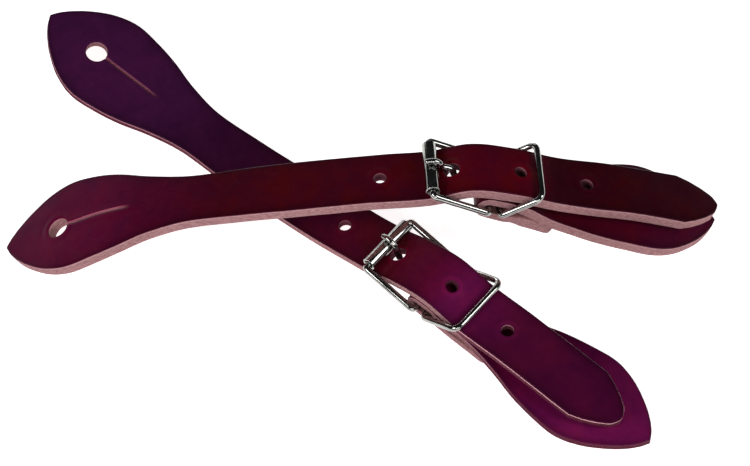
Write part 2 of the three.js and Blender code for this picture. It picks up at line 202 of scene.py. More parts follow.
class StrapPath:
    """A strap's line from the side, with its bend seen from above and its twist along the way."""

    def __init__(self, line, bend, twist):
        lengths = lengths_of(line)
        keep = np.concatenate([[True], np.diff(lengths) > SAME_PLACE])
        self.line = line[keep]
        self.lengths = lengths[keep]
        self.length = self.lengths[-1]
        self.bend = bend
        self.twist = twist
        tangent = np.gradient(self.line, self.lengths, axis=0)
        self.tangent = tangent / np.linalg.norm(tangent, axis=1)[:, None]

    def side(self, s, up):
        """Points in the side view at distances s, moved by up along the strap's upward normal."""
        x, z = (np.interp(s, self.lengths, self.line[:, k]) for k in (0, 1))
        tx, tz = (np.interp(s, self.lengths, self.tangent[:, k]) for k in (0, 1))
        size = np.hypot(tx, tz)
        return x - up * tz / size, z + up * tx / size

    def slope(self, s):
        tx, tz = (np.interp(s, self.lengths, self.tangent[:, k]) for k in (0, 1))
        return math.atan2(tz, tx)

    def place(self, along, across, height):
        """Where a point of the side view lies once the strap is bent and twisted."""
        turn = self.bend * along
        roll = self.twist * along
        level = across * np.cos(roll)
        return np.stack([
            np.sin(turn) / self.bend - level * np.sin(turn),
            (1 - np.cos(turn)) / self.bend + level * np.cos(turn),
            height + across * np.sin(roll),
        ], axis=-1)

    def at(self, s, across, up):
        along, height = self.side(s, up)
        return self.place(along, across, height)


def spin(axis, degrees=None, radians=None):
    return np.array(Matrix.Rotation(math.radians(degrees) if radians is None else radians, 4, axis))


def shift(x, y, z):
    return np.array(Matrix.Translation((x, y, z)))


def moved(points, matrix):
    return points @ matrix[:3, :3].T + matrix[:3, 3]


class Layout:
    """Where the pieces of one set are, worked out as the CAD model does."""

    def __init__(self, kind):
        self.kind = kind
        self.path = StrapPath(catmull(kind["rise"]), kind["bend"], 0)
        self.tab_top = -kind["leather"] - CLEARANCE
        self.heel_depth = -self.tab_top + kind["folded"] + FOLD_RADIUS
        front_bar = np.array(self.path.side(kind["front_bar_at"], CLEARANCE + ROLLER_RADIUS + ROLLER_LIFT))
        self.heel_at = kind["front_bar_at"] + FRAME_LENGTH
        for _ in range(HEEL_TRIES):
            heel = np.array(self.path.side(self.heel_at, -self.heel_depth))
            self.heel_at += FRAME_LENGTH - np.linalg.norm(heel - front_bar)
        self.heel = np.array(self.path.side(self.heel_at, -self.heel_depth))
        self.droop = math.radians(kind["droop"])
        self.front = front_bar - self.heel
        self.slope = self.path.slope(self.heel_at) - self.droop
        self.fold_open = KEEPER_BEHIND_HEEL + FOLD_OPEN_PAST_KEEPER
        self.fold_shut = self.fold_open + FOLD_CLOSING
        self.screw_at = self.heel_at + self.fold_shut + SCREW_PAST_CLOSING
        self.set_matrix = shift(*kind["tip"], 0) @ spin("Z", kind["heading"]) @ spin("X", kind["lean"])
        self.buckle_matrix = (self.set_matrix @ shift(*self.path.place(self.heel[0], 0, self.heel[1]))
                              @ spin("Z", radians=kind["bend"] * self.heel[0]))

    def near(self, s, up):
        """A place beside the long strap, in the side view, from the heel bar."""
        return np.array(self.path.side(s, up)) - self.heel

    def behind(self, s, up):
        """The same once it is turned down by the droop of the short strap's fold."""
        return turned(self.near(s, up), -self.droop)

    def settle(self, offset):
        self.set_matrix = shift(*offset) @ self.set_matrix
        self.buckle_matrix = shift(*offset) @ self.buckle_matrix

    def short_path(self):
        """The short strap's path, and the distances along it where its fold begins and ends."""
        leather = self.kind["leather"]
        flap_flesh = self.tab_top - leather - CLEARANCE
        behind_heel = (self.fold_open, self.fold_shut, self.kind["flap_end"])
        open_at, shut_at, end_at = (self.heel_at + distance for distance in behind_heel)
        below = -self.heel_depth - FOLD_RADIUS
        above = -self.heel_depth + FOLD_RADIUS
        flap = catmull([self.behind(end_at, flap_flesh), self.behind(shut_at, flap_flesh),
                        self.behind(open_at, below)])
        under = np.linspace(self.behind(open_at, below), self.behind(self.heel_at, below), BAR_STEPS)
        angles = self.slope - math.pi / 2 - np.linspace(0, math.pi, FOLD_STEPS)
        fold = FOLD_RADIUS * np.stack([np.cos(angles), np.sin(angles)], axis=1)
        over = np.linspace(self.behind(self.heel_at, above), self.behind(open_at, above), BAR_STEPS)
        tab = catmull([
            self.behind(open_at, above), self.behind(shut_at, self.tab_top - leather),
            self.behind(end_at, self.tab_top - leather - CLEARANCE),
            *[np.array(point) - self.heel for point in self.kind["leaf"]],
        ])
        path = StrapPath(np.vstack([flap, under, fold, over, tab]),
                         self.kind["short_bend"], self.kind["short_twist"])
        fold_start = lengths_of(np.vstack([flap, under]))[-1]
        return path, fold_start, fold_start + math.pi * FOLD_RADIUS


LAYOUTS = [Layout(LOWER), Layout(UPPER)]
lower_heel = next(joint["pos_m"] for joint in frame["joints"] if joint["name"] == "lower_buckle_hinge")
OFFSET = np.array(lower_heel) / MM - LAYOUTS[0].buckle_matrix[:3, 3]
for layout in LAYOUTS:
    layout.settle(OFFSET)

# ---- Leather: cut flat with its holes, then laid along its path ----
TURNED_SIDES = 64
ROUND_STEPS = 6
STATION_SPACING = 0.7
ACROSS_POINTS = 41
FINE_END = [0, 0.04, 0.12, 0.25, 0.42, 0.65, 0.95, 1.3, 1.7, 2.2]
END_ROUNDING = 1.6
THINNEST_HALF = 0.03
FLAP_CORNER_LENGTH = 2
FLAP_CORNER_WIDTH = 0.5
GRAIN_CORNER = 0.5
FLESH_CORNER = 0.3
WALL_DEPTHS = [0.62, 0.76, 0.95, 1.4, 1.9]
WALL_FEET = [0.75, 0.45]
WALL_BULGE = 0.1
WALL_NARROWEST = 4
KNIFE_SMOOTHING = 12
KNIFE_WOBBLE = 0.06
KNIFE_STEADY = (1, 6)
FIBRE_SMOOTHING = 2
FIBRE_SIZE = 0.035
HOLE_CLOSING = 0.3
TONGUE_HOLE_WEAR = 0.3
PUNCH_SOFTNESS = 0.3
PUNCH_FOOT = [(0.12, -0.05), (0.02, 0.2)]
SLIT_STEPS = 60
SLIT_HALF = 0.16
SLIT_MOUTH = [(0.2, 0.4), (0.34, 0.12), (0.5, 0)]
SLIT_OUTER_HALF = 0.56
SLIT_CLOSING = 5
SLIT_CLOSED = 0.04
SLIT_DRIFT = 0.25
SLIT_DRIFT_ANGLE = 2.4
SLOT_ENDS = 16
SLOT_SIDES = 40
SINK_SIDES = 48
CUT_PAST = 2
HOLE_RING = (0.13, 0.75, 0.6)
HOLE_DIP = (0.05, 2.2, 0.9)
SLIT_LIPS = (0.1, 0.9, 0.5)
HOLE_HALO = (0.3, 0.5, 0.45)
HOLE_DYE_REACH = 0.5
SLIT_DYE_REACH = 1
CROWN = 0.14
WAVE_SIZE = 0.09
WAVES = 5
RIM_REACH = 1.5
DYE_STRENGTH = 1.75
SHARP_ANGLE = 50
ATTRIBUTE_KINDS = {(): ("FLOAT", "value"), (3,): ("FLOAT_VECTOR", "vector"), (4,): ("FLOAT_COLOR", "color")}

LEAF_CURVE = catmull(LEAF_OUTLINE)


def leaf_half(s):
    """Half width of a leaf by distance from its tip, as a smooth curve through its outline."""
    return np.interp(s, *LEAF_CURVE.T)


def end_round(s):
    """Takes the width to nothing over the last stretch, as the tip of a cut end."""
    t = np.clip(s / END_ROUNDING, 0, 1)
    return np.sqrt(np.clip(1 - (1 - t) ** 2, 0, 1))


def long_half(s):
    """Half width of a long strap: leaf, straight strap and point."""
    back = STRAP_LENGTH - s
    half = np.where(s < LEAF_OUTLINE[-1][0], leaf_half(s), STRAP_HALF)
    point = np.interp(back, *zip(*POINT_OUTLINE))
    half = np.where(back < POINT_OUTLINE[-1][0], point, half)
    return np.maximum(half * end_round(s) * end_round(back), THINNEST_HALF)


def short_half(length):
    """Half width of a short strap of this length, from its flap to its leaf."""
    def half_at(s):
        back = length - s
        half = np.where(back < LEAF_OUTLINE[-1][0], leaf_half(back), STRAP_HALF)
        flap_corner = STRAP_HALF - FLAP_CORNER_WIDTH * (1 - s / FLAP_CORNER_LENGTH) ** 2
        half = np.where(s < FLAP_CORNER_LENGTH, flap_corner, half)
        return np.maximum(half * end_round(back), THINNEST_HALF)
    return half_at


def wobble(count, smooth, size):
    """A smooth random line: what a hand-held knife leaves."""
    kernel = np.exp(-np.linspace(-2, 2, 4 * smooth + 1) ** 2)
    line = np.convolve(RANDOM.normal(size=count + 4 * smooth), kernel / kernel.sum(), "valid")
    return size * line / max(line.std(), 1e-9)


def mesh_from(points, faces, name="shape"):
    """A mesh from points in any nesting and faces by the points' places."""
    mesh = bpy.data.meshes.new(name)
    mesh.from_pydata(np.asarray(points, float).reshape(-1, 3).tolist(), [], faces)
    return mesh


def loop_faces(rings, around, closed=False):
    """Quads between rings of the same number of points, with end caps unless the rings close."""
    faces = []
    for i in range(rings if closed else rings - 1):
        low, high = i * around, ((i + 1) % rings) * around
        faces += [(low + j, low + (j + 1) % around, high + (j + 1) % around, high + j)
                  for j in range(around)]
    if not closed:
        faces += [tuple(reversed(range(around))), tuple(range((rings - 1) * around, rings * around))]
    return faces


def plate(length, half_at, thickness):
    """A flat strap: X along, Y across, Z from the flesh side at 0 to the grain side."""
    middle = np.arange(FINE_END[-1] + STATION_SPACING, length - FINE_END[-1], STATION_SPACING)
    fine = np.array(FINE_END)
    s = np.concatenate([fine, middle, (length - fine)[::-1]])
    knife = wobble(len(s), KNIFE_SMOOTHING, KNIFE_WOBBLE)
    half = half_at(s) + knife * smoothstep(np.minimum(s, length - s), *KNIFE_STEADY)
    share = np.sin(np.linspace(-0.5, 0.5, ACROSS_POINTS) * math.pi)
    across = half[:, None] * share
    edge = np.concatenate([np.stack([s, half], 1), np.stack([s, -half], 1)])
    points = np.stack([np.repeat(s[:, None], ACROSS_POINTS, 1), across], -1)
    from_edge = np.min(np.linalg.norm(points[:, :, None, :] - edge[None, None], axis=-1), axis=-1)

    def corner(radius):
        inside = np.clip(radius - from_edge, 0, radius)
        return radius - np.sqrt(radius**2 - inside**2)

    grain = thickness - corner(GRAIN_CORNER)
    flesh = corner(FLESH_CORNER)
    # The wall's rows of points, by depth below the grain: WALL_DEPTHS are the lower leather's
    rows = [depth * thickness / LOWER["leather"] for depth in WALL_DEPTHS]
    rows += [thickness - foot for foot in WALL_FEET]
    fibres = np.array([wobble(len(s), FIBRE_SMOOTHING, FIBRE_SIZE) for _ in range(2 * len(rows))])
    taper = smoothstep(half, 0, WALL_NARROWEST)

    def wall(side, row, depth):
        bulge = WALL_BULGE * math.sin(math.pi * depth / thickness)
        y = side * (half + (fibres[row] + bulge) * taper)
        return np.stack([s, y, np.full(len(s), thickness - depth)], -1)

    ring = [np.stack([s, across[:, j], grain[:, j]], -1) for j in range(ACROSS_POINTS)]
    ring += [wall(1, k, depth) for k, depth in enumerate(rows)]
    ring += [np.stack([s, across[:, j], flesh[:, j]], -1) for j in reversed(range(ACROSS_POINTS))]
    ring += [wall(-1, len(rows) + k, depth) for k, depth in reversed(list(enumerate(rows)))]
    return mesh_from(np.stack(ring, 1), loop_faces(len(s), len(ring)))


def lathe_mesh(profile, sides, centre=(0, 0)):
    """A body of revolution about Z from (radius, height) points, closed by a flat cap at each end."""
    angles = np.linspace(0, 2 * math.pi, sides, endpoint=False)
    rings = [np.stack([centre[0] + r * np.cos(angles), centre[1] + r * np.sin(angles),
                       np.full(sides, z)], -1) for r, z in profile]
    return mesh_from(rings, loop_faces(len(rings), sides))


def punch(centre, outer, thickness):
    """A cutter whose wall opens out at the grain side, as a round punch leaves it."""
    radius = outer - PUNCH_SOFTNESS / 2
    flare = [(radius + PUNCH_SOFTNESS * (1 - math.cos(a)), thickness - PUNCH_SOFTNESS * (1 - math.sin(a)))
             for a in np.linspace(0, math.pi / 2, ROUND_STEPS)]
    wall = [(radius, height) for height in (0.45, 0.9, thickness - 0.5)]
    foot = [(radius + wider, height) for wider, height in PUNCH_FOOT]
    above = radius + PUNCH_SOFTNESS + 0.1
    profile = [(foot[0][0], -CUT_PAST), *foot, *wall, *flare,
               (above, thickness + 0.1), (above, thickness + CUT_PAST)]
    return lathe_mesh(profile, TURNED_SIDES, centre)


def knife_slit(start, end, thickness):
    """A narrow slit that opens slightly at the grain side and closes to a point at its far end."""
    section = [(SLIT_HALF, height) for height in (-CUT_PAST, 0.3, thickness - 0.8)]
    section += [(half, thickness - depth) for half, depth in SLIT_MOUTH]
    section += [(SLIT_OUTER_HALF, thickness + over) for over in (0.1, CUT_PAST)]
    x = np.linspace(start, end, SLIT_STEPS)
    width = np.maximum(np.sqrt(np.clip(np.abs(end - x) / SLIT_CLOSING, 0, 1)), SLIT_CLOSED)
    drift = SLIT_DRIFT * np.sin(np.linspace(0, SLIT_DRIFT_ANGLE, SLIT_STEPS))
    loop = section + [(-y, z) for y, z in reversed(section)]
    points = [[(xi, di + y * wi, z) for y, z in loop] for xi, wi, di in zip(x, width, drift)]
    return mesh_from(points, loop_faces(SLIT_STEPS, len(loop)))


def outward(*meshes):
    """The meshes as one, with their faces turned to point out."""
    bm = bmesh.new()
    for mesh in meshes:
        bm.from_mesh(mesh)
    bmesh.ops.recalc_face_normals(bm, faces=bm.faces)
    whole = bpy.data.meshes.new("whole")
    bm.to_mesh(whole)
    bm.free()
    return whole


def carved(mesh, *cutters, added=()):
    """The mesh with the added ones joined on, and then the cutters taken away."""
    body, *tools = [made_object(outward(each)) for each in (mesh, *added, *cutters)]
    for i, tool in enumerate(tools):
        boolean = body.modifiers.new("carve", "BOOLEAN")
        boolean.operation = "UNION" if i < len(added) else "DIFFERENCE"
        boolean.solver = "MANIFOLD"
        boolean.object = tool
    view = bpy.context.evaluated_depsgraph_get()
    result = bpy.data.meshes.new_from_object(body.evaluated_get(view))
    for thing in (body, *tools):
        bpy.data.objects.remove(thing)
    return result


def points_of(mesh):
    """A mesh's points, one a row."""
    points = np.empty(3 * len(mesh.vertices), np.float32)
    mesh.vertices.foreach_get("co", points)
    return points.reshape(-1, 3).astype(float)


def placed(name, mesh, points, body, replaced, material, sharp=SHARP_ANGLE):
    """Makes a mesh one finished piece: points are in millimetres in the frame."""
    mesh.vertices.foreach_set("co", (points * MM).astype(np.float32).ravel())
    mesh.update()
    mesh.name = name
    mesh.shade_smooth()
    mesh.set_sharp_from_angle(angle=math.radians(sharp))
    mesh.materials.clear()
    mesh.materials.append(material)
    piece = made_object(mesh)
    piece.name = name
    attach(piece, body)
    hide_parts(replaced)


def waves(s, a, seeds):
    """Gentle unevenness over a strap, from a few slow waves."""
    total = np.zeros_like(s)
    for k in range(WAVES):
        length = 14 + 9 * k
        slant = 0.05 + 0.04 * k
        total += np.sin(2 * math.pi * (s / length + seeds[k]) + a * slant + 7 * seeds[k + 1])
    return WAVE_SIZE * total / WAVES


def srgb(*channels):
    """A colour given as 0 to 255 values, made linear."""
    shares = [channel / 255 for channel in channels]
    return np.array([c / 12.92 if c <= 0.04045 else ((c + 0.055) / 1.055) ** 2.4 for c in shares])


def bell(shape, distance):
    """A smooth hump by distance; its shape is its size, where it is and its width."""
    size, place, width = shape
    return size * np.exp(-((distance - place) / width) ** 2)


def relief(s, a, half, holes, slit, seeds):
    """How far the grain side stands up: rings round holes, a slit's lips, the crown and slow waves."""
    ring = np.zeros_like(s)
    for centre, radius in holes:
        from_rim = np.hypot(s - centre, a) - radius
        ring += bell(HOLE_RING, from_rim) - bell(HOLE_DIP, from_rim)
    nearest = np.clip(s, min(slit), max(slit))
    lips = bell(SLIT_LIPS, np.hypot(a, s - nearest))
    crown = -CROWN * np.clip(np.abs(a) / np.maximum(half, 1), 0, 1) ** 3
    return ring + lips + crown + waves(s, a, seeds)


def edge_dye_of(s, a, holes, slit, look):
    """How deeply the cut walls are dyed, along the outline, in the holes and in the slit."""
    dye_and_sheen = np.interp(s, *zip(*look["edge_dye"]))
    for centre, radius in holes:
        hole_dye = look["button_dye"] if radius == BUTTON_HOLE_RADIUS else look["hole_dye"]
        dye_and_sheen = np.where(np.hypot(s - centre, a) < radius + HOLE_DYE_REACH, hole_dye, dye_and_sheen)
    in_slit = (np.abs(a) < SLIT_DYE_REACH) & (s > min(slit)) & (s < max(slit))
    return np.where(in_slit, look["button_dye"], dye_and_sheen)


def grain_dye_and_sheen_of(s, a, holes, look):
    """The grain side's colour along the strap: dye, with painted sheen in its violet and magenta stretches,
    and lighter in a thin ring round each buckle hole.
    """
    places, colours = zip(*look["dye_and_sheen"])
    channels = [DYE_STRENGTH * np.interp(s, places, channel) for channel in zip(*colours)]
    halo = np.ones_like(s)
    for centre, radius in holes:
        if radius == HOLE_RADIUS:
            halo += bell(HOLE_HALO, np.hypot(s - centre, a) - radius)
    return np.stack([*channels, np.ones_like(s)], -1) * halo[:, None]


def finished_leather(name, layout, mesh, path, matrix, thickness, lift, holes, slit, look):
    """Lays a cut flat strap along its path and gives it what its material reads."""
    flat = points_of(mesh)
    s, a, u = flat.T
    leather = layout.kind["leather"]
    level = np.clip(u / leather, 0, 1)
    seeds = RANDOM.random(WAVES + 1)
    half = look["half"](s)
    height = u * thickness(s) / leather + level * relief(s, a, half, holes, slit, seeds)
    points = moved(path.at(s, a, height + lift), matrix)
    along_slit = (s - slit[0]) / (slit[1] - slit[0])
    off_slit = a - SLIT_DRIFT * np.sin(SLIT_DRIFT_ANGLE * along_slit)
    stored = {
        "flat": flat,
        "depth": leather - u,
        "level": level,
        "rim": np.exp(-np.maximum(half - np.abs(a), 0) / RIM_REACH),
        "line_share": np.interp(s, *zip(*look["line_share"])),
        "slit": np.stack([along_slit, off_slit, np.full_like(s, look["slit"])], -1),
        "edge_dye": edge_dye_of(s, a, holes, slit, look),
        "dye_and_sheen": grain_dye_and_sheen_of(s, a, holes, look),
    }
    for label, values in stored.items():
        kind, field = ATTRIBUTE_KINDS[values.shape[1:]]
        attribute = mesh.attributes.new(label, kind, "POINT")
        attribute.data.foreach_set(field, values.astype(np.float32).ravel())
    placed(f"{name}_leather", mesh, points, f"{layout.kind['name']}_straps", name,
           look["material"])


def make_long_strap(layout, material, look):
    """The strap that goes through the buckle: leaf, button hole, slit, buckle holes and point."""
    name = f"{layout.kind['name']}_long_strap"
    leather = layout.kind["leather"]
    holes = [(BUTTON_HOLE_AT, BUTTON_HOLE_RADIUS), *[(s, HOLE_RADIUS) for s in HOLES_AT]]
    worn = {s: -HOLE_CLOSING for s in HOLES_AT}
    worn[TONGUE_HOLE_AT] = TONGUE_HOLE_WEAR
    punches = outward(*[punch((s, 0), radius + worn.get(s, 0), leather) for s, radius in holes])
    slit = (BUTTON_HOLE_AT, SLIT_END)
    mesh = carved(plate(STRAP_LENGTH, long_half, leather), punches, knife_slit(*slit, leather))
    look = {**look, "half": long_half, "material": material}
    finished_leather(name, layout, mesh, layout.path, layout.set_matrix,
                     lambda s: np.full_like(s, leather), -leather, holes, slit, look)


def nearest_distance(path, spot, low, high):
    """The distance along a path, within bounds, of its place nearest to a point of the side view."""
    candidates = (path.lengths >= low) & (path.lengths <= high)
    gaps = np.linalg.norm(path.line - np.array(spot), axis=1)
    return path.lengths[np.argmin(np.where(candidates, gaps, np.inf))]


def stadium(start, end, half, thickness):
    """A slot with round ends, right through."""
    straight = np.linspace(start + half, end - half, SLOT_SIDES)[1:-1]
    turn = np.linspace(0, math.pi, SLOT_ENDS)
    loop = [(end - half + half * math.sin(t), -half * math.cos(t)) for t in turn]
    loop += [(x, half) for x in straight[::-1]]
    loop += [(start + half - half * math.sin(t), half * math.cos(t)) for t in turn]
    loop += [(x, -half) for x in straight]
    heights = [-CUT_PAST, 0.3, thickness / 2, thickness - 0.3, thickness + CUT_PAST]
    points = [[(x, y, z) for x, y in loop] for z in heights]
    return mesh_from(points, loop_faces(len(heights), len(loop)))


def screw_sink(at, leather):
    """A cutter for a screw's bore, with room for its head at the grain side."""
    bore, sink = POST_RADIUS + CLEARANCE, SCREW_HEAD_RADIUS + CLEARANCE
    floor = leather - SCREW_HEAD_HEIGHT - 2 * CLEARANCE
    profile = [(bore, -CUT_PAST), (bore, 0.3), (bore, floor), (sink, floor + 0.02),
               (sink + 0.1, leather), (sink + 0.1, leather + CUT_PAST)]
    return lathe_mesh(profile, SINK_SIDES, (at, 0))


def make_short_strap(layout, material, look):
    """The strap folded round the heel bar, with its tongue slot, screw bores and button hole."""
    kind = layout.kind
    name = f"{kind['name']}_short_strap"
    leather = kind["leather"]
    path, fold_start, fold_end = layout.short_path()
    spot = layout.behind(layout.screw_at, layout.tab_top - leather)
    flap_bore = nearest_distance(path, spot, 0, fold_start)
    tab_bore = nearest_distance(path, spot, fold_end, fold_end + 2 * kind["flap_end"])
    reach = TONGUE_EYE_INNER + TONGUE_EYE_WALL + CLEARANCE
    button = path.length - BUTTON_HOLE_AT
    slit = (button, path.length - SLIT_END)
    cutters = [stadium(fold_start - reach, fold_end + reach, TONGUE_SLOT_HALF, leather),
               punch((button, 0), BUTTON_HOLE_RADIUS, leather),
               screw_sink(flap_bore, leather), screw_sink(tab_bore, leather)]
    half_at = short_half(path.length)
    mesh = carved(plate(path.length, half_at, leather), outward(*cutters), knife_slit(*slit, leather))

    def thickness(s):
        share = smoothstep(np.maximum(s - fold_end, fold_start - s), layout.fold_open, layout.fold_shut)
        return kind["folded"] + (leather - kind["folded"]) * share

    look = {**look, "half": half_at, "material": material}
    finished_leather(name, layout, mesh, path, layout.buckle_matrix, thickness, 0,
                     [(button, BUTTON_HOLE_RADIUS)], slit, look)


# ---- Metal ----
WIRE_SIDES = 28
CORNER_STEPS = 14
ARM_STEPS = 30
WIRE_UNEVENNESS = 0.012
WIRE_WAVES = 7
ROLLER_SOFTNESS = 0.16
ROLLER_SHARP_ANGLE = 35
SEAM_HALF = 0.09
TONGUE_TAPER = 0.22
TONGUE_TAPER_SPAN = (0.55, 1)
TONGUE_FLATTENING = 0.12
TONGUE_FLATTENING_SPAN = (0.6, 0.85)
TONGUE_TIP_STEPS = 8
EYE_SOFTNESS = 0.3
BORE_REACH = 3
HEAD_SOFTNESS = 0.35
NEAR_AXIS = 0.02
SCREW_SHANK = 1.2
SCREW_THINNER = 0.7
DRIVER_SLOT_HALF = 0.45
DRIVER_SLOT_DEPTH = 0.5
SCREW_SHARP_ANGLE = 40


def centripetal(points, per_span=24):
    """A centripetal Catmull-Rom curve through the points, running straight on at its ends."""
    points = np.array(points, float)
    padded = np.vstack([2 * points[:1] - points[1:2], points, 2 * points[-1:] - points[-2:-1]])
    t = np.linspace(0, 1, per_span, endpoint=False)[:, None]
    spans = []
    for p0, p1, p2, p3 in zip(padded, padded[1:], padded[2:], padded[3:]):
        d0, d1, d2 = (math.sqrt(np.linalg.norm(b - a)) for a, b in ((p0, p1), (p1, p2), (p2, p3)))
        v0 = d1 * ((p1 - p0) / d0 - (p2 - p0) / (d0 + d1) + (p2 - p1) / d1)
        v1 = d1 * ((p2 - p1) / d1 - (p3 - p1) / (d1 + d2) + (p3 - p2) / d2)
        spans.append(hermite(p1, p2, v0, v1, t))
    return np.vstack([*spans, points[-1:]])


def planar_sweep(line, normal, radii, closed, flatten=None):
    """A round bar's mesh along a flat line of points, whose plane has the given normal."""
    step = (np.roll(line, -1, 0) - np.roll(line, 1, 0)) if closed else np.gradient(line, axis=0)
    tangent = step / np.linalg.norm(step, axis=1)[:, None]
    side = np.cross(np.broadcast_to(normal, tangent.shape), tangent)
    angles = np.linspace(0, 2 * math.pi, WIRE_SIDES, endpoint=False)
    flatten = np.ones(len(line)) if flatten is None else flatten
    rings = [p + r * (np.cos(angles)[:, None] * n * f + np.sin(angles)[:, None] * normal)
             for p, n, r, f in zip(line, side, radii, flatten)]
    return mesh_from(rings, loop_faces(len(line), WIRE_SIDES, closed))


def wire_loop(length, far_corner, wire):
    """A closed wire loop in the XY plane, its bars along Y at x = 0 and x = length."""
    corners = [(0, 1, 1, BAR_CORNER), (length, 1, -1, far_corner),
               (length, -1, -1, far_corner), (0, -1, 1, BAR_CORNER)]
    stops = []
    for i, (x, side, inward, corner) in enumerate(corners):
        y = side * RING_HALF_WIDTH
        on_bar, on_arm = np.array([x, y - side * corner]), np.array([x + inward * corner, y])
        first, second = (on_bar, on_arm) if i % 2 == 0 else (on_arm, on_bar)
        stops.append((first, np.array([x, y]), second))
    line = []
    for (first, apex, second), (following, _, _) in zip(stops, stops[1:] + stops[:1]):
        for t in np.linspace(0, 1, CORNER_STEPS):
            line.append((1 - t) ** 2 * first + 2 * t * (1 - t) * apex + t * t * second)
        for t in np.linspace(0, 1, ARM_STEPS)[1:-1]:
            line.append(second + t * (following - second))
    line = np.array(line)
    line = np.column_stack([line, np.zeros(len(line))])
    phase = np.linspace(0, 2 * WIRE_WAVES * math.pi, len(line), endpoint=False)
    radii = wire * (1 + WIRE_UNEVENNESS * np.sin(phase))
    return outward(planar_sweep(line, np.array([0, 0, 1.0]), radii, True))


def revolved_about_y(profile):
    """A ring about Y from a closed (radius, y) profile."""
    angles = np.linspace(0, 2 * math.pi, TURNED_SIDES, endpoint=False)
    rings = [[(r * math.cos(t), y, r * math.sin(t)) for r, y in profile] for t in angles]
    return mesh_from(rings, loop_faces(TURNED_SIDES, len(profile), True))


def rounded_tube_profile(inner, outer, half, soft):
    """Section of a tube wall with softened ends."""
    corners = [(outer - soft, half - soft, 0), (inner + soft, half - soft, 90),
               (inner + soft, -half + soft, 180), (outer - soft, -half + soft, 270)]
    profile = []
    for r, y, start in corners:
        for degrees in np.linspace(start, start + 90, ROUND_STEPS):
            angle = math.radians(degrees)
            profile.append((r + soft * math.cos(angle), y + soft * math.sin(angle)))
        if start == 90:
            profile += [(inner, middle) for middle in (half / 2, 0, -half / 2)]
        if start == 270:
            profile += [(outer, middle) for middle in (-half / 2, 0, half / 2)]
    return profile


def box_mesh(low, high):
    """A box between two opposite corners."""
    corners = [(x, y, z) for z in (low[2], high[2]) for x, y in (
        (low[0], low[1]), (high[0], low[1]), (high[0], high[1]), (low[0], high[1]))]
    return mesh_from(corners, loop_faces(2, 4))


def make_roller():
    """A rolled tube: its seam is a fine open line along it."""
    section = rounded_tube_profile(ROLLER_RADIUS - ROLLER_WALL, ROLLER_RADIUS, ROLLER_HALF, ROLLER_SOFTNESS)
    seam = box_mesh((-2 * ROLLER_RADIUS, -2 * ROLLER_HALF, -SEAM_HALF),
                    (-ROLLER_RADIUS / 2, 2 * ROLLER_HALF, SEAM_HALF))
    return carved(revolved_about_y(section), seam)


def tongue_line(layout):
    """The tongue's middle line: off its eye, up through the strap's hole and over the roller."""
    kind, near = layout.kind, layout.near
    eye_top = -layout.heel_depth + TONGUE_EYE_INNER + TONGUE_EYE_WALL / 2
    under_strap = -kind["leather"] - 2 * CLEARANCE - TONGUE_WIRE
    over_roller = ROLLER_RADIUS + CLEARANCE + TONGUE_WIRE
    slope = layout.path.slope(kind["front_bar_at"])
    over = [layout.front + turned((over_roller, 0), math.radians(degrees) + slope)
            for degrees in TONGUE_OVER_ROLLER]
    route = [near(layout.heel_at - TONGUE_EYE_INNER - TONGUE_EYE_WALL / 2, eye_top),
             near(layout.heel_at - 2 * TONGUE_EYE_INNER, eye_top),
             near(TONGUE_HOLE_AT + TONGUE_RISE, under_strap - CLEARANCE),
             near(TONGUE_HOLE_AT + TONGUE_SLANT, -kind["leather"]), near(TONGUE_HOLE_AT, 0), *over]
    side = centripetal(route)
    return np.column_stack([side[:, 0], np.zeros(len(side)), side[:, 1]])


def make_tongue(layout):
    """Wire curled into an eye on the heel bar, tapering to a rounded tip hooked over the roller."""
    line = tongue_line(layout)
    share = lengths_of(line) / lengths_of(line)[-1]
    radii = TONGUE_WIRE * (1 - TONGUE_TAPER * smoothstep(share, *TONGUE_TAPER_SPAN))
    tip_direction = line[-1] - line[-2]
    tip_direction /= np.linalg.norm(tip_direction)
    cap = np.linspace(0, math.pi / 2, TONGUE_TIP_STEPS)[1:]
    cap_line = [line[-1] + tip_direction * radii[-1] * math.sin(t) for t in cap]
    cap_radii = [radii[-1] * max(math.cos(t), 0.04) for t in cap]
    line = np.vstack([line, cap_line])
    radii = np.concatenate([radii, cap_radii])
    flatten = np.concatenate([1 - TONGUE_FLATTENING * smoothstep(share, *TONGUE_FLATTENING_SPAN),
                              np.full(len(cap), 1 - TONGUE_FLATTENING)])
    hook = planar_sweep(line, np.array([0, 1.0, 0]), radii, False, flatten)
    eye = revolved_about_y(rounded_tube_profile(
        TONGUE_EYE_INNER, TONGUE_EYE_INNER + TONGUE_EYE_WALL, TONGUE_EYE_HALF, EYE_SOFTNESS))
    bore = lathe_mesh([(TONGUE_EYE_INNER, z) for z in (-BORE_REACH, BORE_REACH)], TURNED_SIDES)
    bore_points = points_of(bore)[:, [0, 2, 1]]
    bore.vertices.foreach_set("co", bore_points.astype(np.float32).ravel())
    return carved(eye, bore, added=[hook])


def head_profile(length, radius):
    """A disc-headed pin: shank down to -length, head with a softly domed top."""
    height, rim = SCREW_HEAD_HEIGHT, SCREW_HEAD_RADIUS
    dome = [(rim - HEAD_SOFTNESS * (1 - math.cos(t)), height - HEAD_SOFTNESS * (1 - math.sin(t)))
            for t in np.linspace(0, math.pi / 2 - 0.1, ROUND_STEPS)]
    return [(NEAR_AXIS, -length), (radius, -length), (radius, -0.02), (rim - 0.15, -0.02), (rim, 0.12),
            *dome, (rim * 0.6, height), (NEAR_AXIS, height)]


